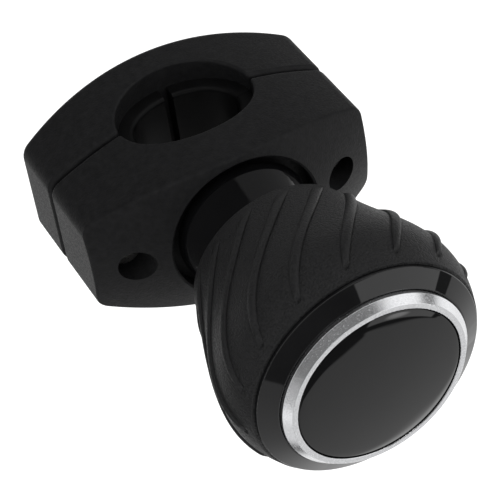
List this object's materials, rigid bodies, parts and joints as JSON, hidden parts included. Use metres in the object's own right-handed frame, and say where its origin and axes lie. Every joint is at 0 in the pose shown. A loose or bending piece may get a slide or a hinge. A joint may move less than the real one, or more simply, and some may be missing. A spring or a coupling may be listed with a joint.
{
  "type": "steering wheel spinner knob",
  "caption": "Ribbed, flared knob that spins on a ball bearing spindle fixed to a two-piece clamp for a wheel's rim.",
  "frame": {"origin": "middle of the rim bore, on the knob's axis, in the plane where the clamp's halves part", "axes": "+Z along the knob's spin axis towards the driver, Y along the wheel's rim, X between the clamp's screws"},
  "size_m": [0.0668, 0.0564, 0.1004],
  "materials": {
    "clamp_plastic": "fine moulded grain, matte black",
    "pad_rubber": "smooth dark grey rubber",
    "screw_steel": "zinc plated, turned",
    "bearing_steel": "ground and polished",
    "cage_steel": "pressed sheet",
    "nylon": "natural nylon",
    "grip_rubber": "leather grained black rubber with smooth ribs",
    "gloss_black": "polished black",
    "trim_silver": "satin silver with a polished inner bevel",
    "cap_gloss": "polished black dome"
  },
  "bodies": {
    "clamp": {"clamp_base": "clamp_plastic", "clamp_cap": "clamp_plastic", "base_pad_left": "pad_rubber", "base_pad_right": "pad_rubber", "cap_pad_left": "pad_rubber", "cap_pad_right": "pad_rubber", "clamp_screw_left": "screw_steel", "clamp_screw_right": "screw_steel", "spring_washer_left": "screw_steel", "spring_washer_right": "screw_steel", "clamp_nut_left": "screw_steel", "clamp_nut_right": "screw_steel", "spindle": "screw_steel", "lower_shim": "screw_steel", "upper_shim": "screw_steel", "race_spacer": "screw_steel", "lock_nut": "screw_steel", "nylon_ring": "nylon", "lower_inner_race": "bearing_steel", "upper_inner_race": "bearing_steel"},
    "knob": {"grip": "grip_rubber", "knob_core": "gloss_black", "bezel": "gloss_black", "trim_ring": "trim_silver", "dome_cap": "cap_gloss", "bezel_screw_1": "screw_steel", "bezel_screw_2": "screw_steel", "bezel_screw_3": "screw_steel", "lower_outer_race": "bearing_steel", "upper_outer_race": "bearing_steel"},
    "lower_ball_set": {"lower_cage": "cage_steel", "lower_balls": "bearing_steel"},
    "upper_ball_set": {"upper_cage": "cage_steel", "upper_balls": "bearing_steel"}
  },
  "joints": [
    {"name": "knob_spin", "type": "hinge", "parent": "clamp", "child": "knob", "pos_m": [0, 0, 0.037], "axis": [0, 0, 1], "continuous": true},
    {"name": "lower_ball_spin", "type": "hinge", "parent": "clamp", "child": "lower_ball_set", "pos_m": [0, 0, 0.0241], "axis": [0, 0, 1], "continuous": true},
    {"name": "upper_ball_spin", "type": "hinge", "parent": "clamp", "child": "upper_ball_set", "pos_m": [0, 0, 0.0521], "axis": [0, 0, 1], "continuous": true}
  ],
  "couplings": [
    {"joint": "lower_ball_spin", "follows": "knob_spin", "ratio": 0.632},
    {"joint": "upper_ball_spin", "follows": "knob_spin", "ratio": 0.632}
  ]
}
